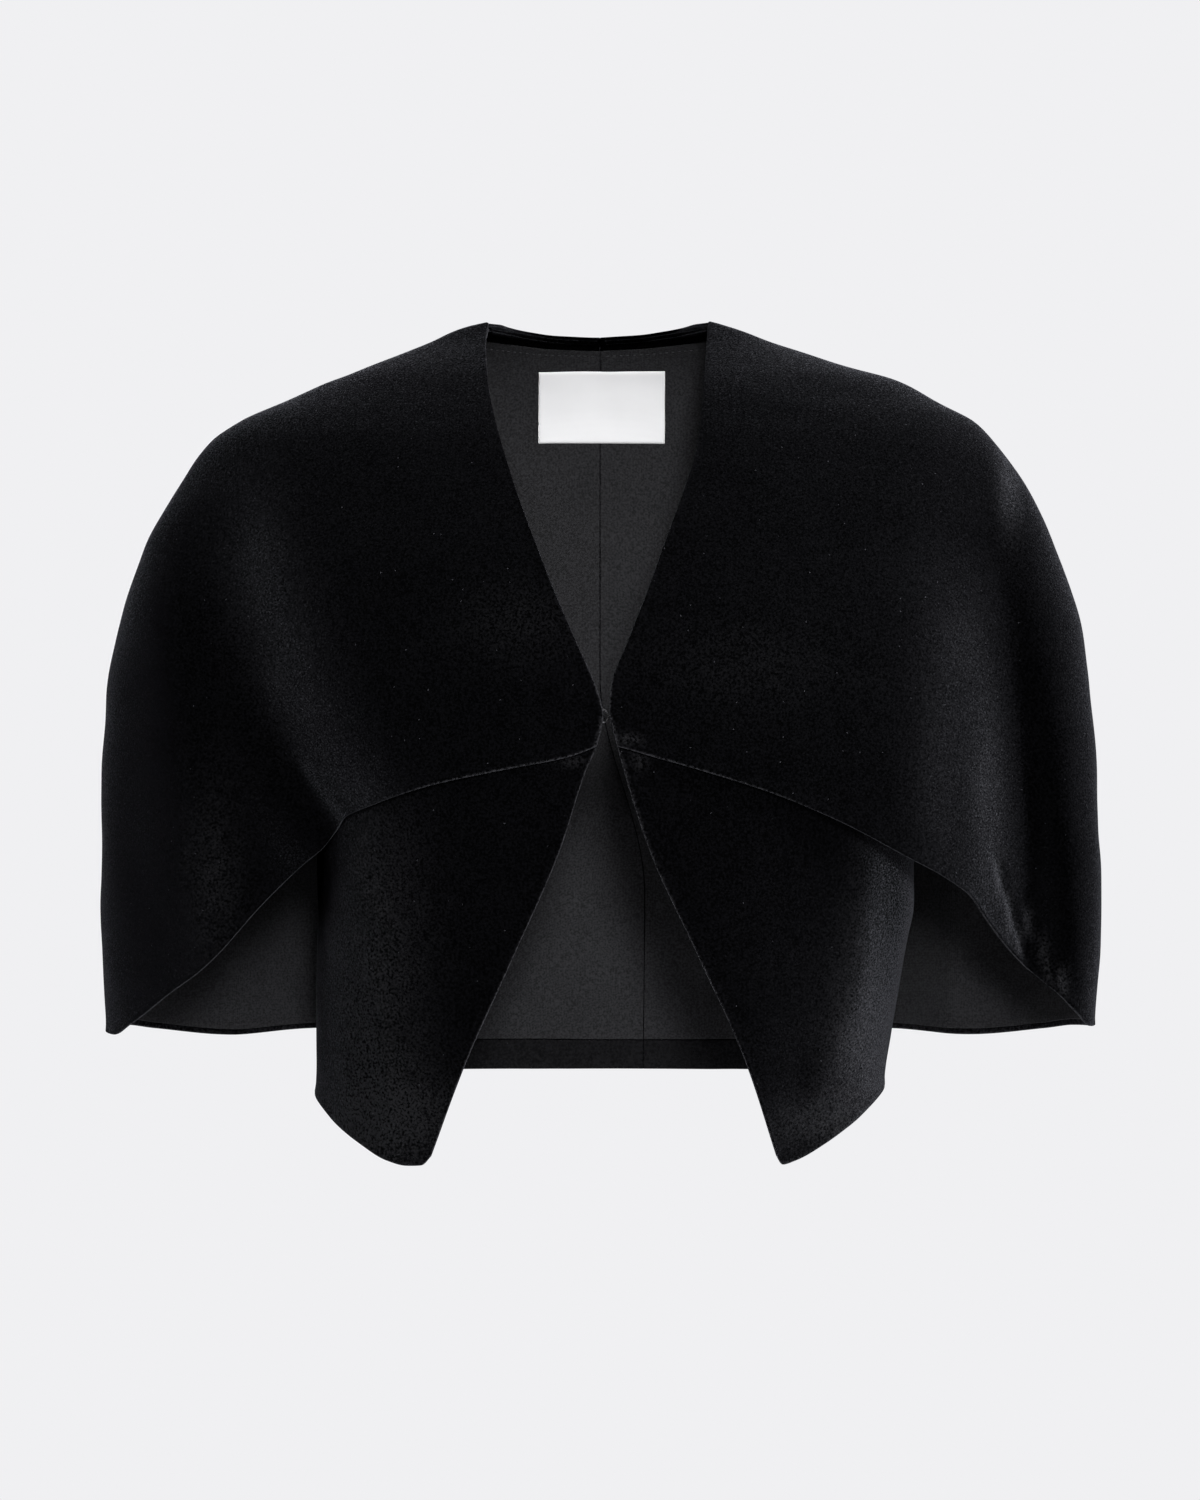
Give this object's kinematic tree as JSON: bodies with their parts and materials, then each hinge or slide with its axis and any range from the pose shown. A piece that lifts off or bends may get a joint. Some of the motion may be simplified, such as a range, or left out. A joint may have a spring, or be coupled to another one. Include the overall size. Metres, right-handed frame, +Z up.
{
  "type": "cropped velvet cape with inner vest",
  "caption": "Cropped black velvet cape with rounded shoulders, open arm sides, a deep V front closed by a hook and eye, and a fitted vest inside with pointed hems.",
  "frame": {"origin": "between the two neck points, where the wearer's shoulders carry the garment", "axes": "+X to the right seen from the front, +Y to the back, +Z up"},
  "size_m": [0.6084, 0.2402, 0.507],
  "materials": {
    "velvet": "black velvet pile, lighter where it turns away",
    "lining": "matte woven lining, off-black",
    "label": "woven white, bare",
    "wire": "black lacquered wire"
  },
  "bodies": {
    "root": {"cape_front_left": "velvet", "cape_front_right": "velvet", "cape_back_left": "velvet", "cape_back_right": "velvet", "cape_lining_left": "lining", "cape_lining_right": "lining", "vest_front_left": "velvet", "vest_front_right": "velvet", "vest_back_left": "velvet", "vest_back_right": "velvet", "vest_lining_left": "lining", "vest_lining_right": "lining", "neck_facing_left": "velvet", "neck_facing_right": "velvet", "hem_facing_left": "velvet", "hem_facing_right": "velvet", "label": "label", "hook": "wire", "eye": "wire"}
  },
  "joints": []
}
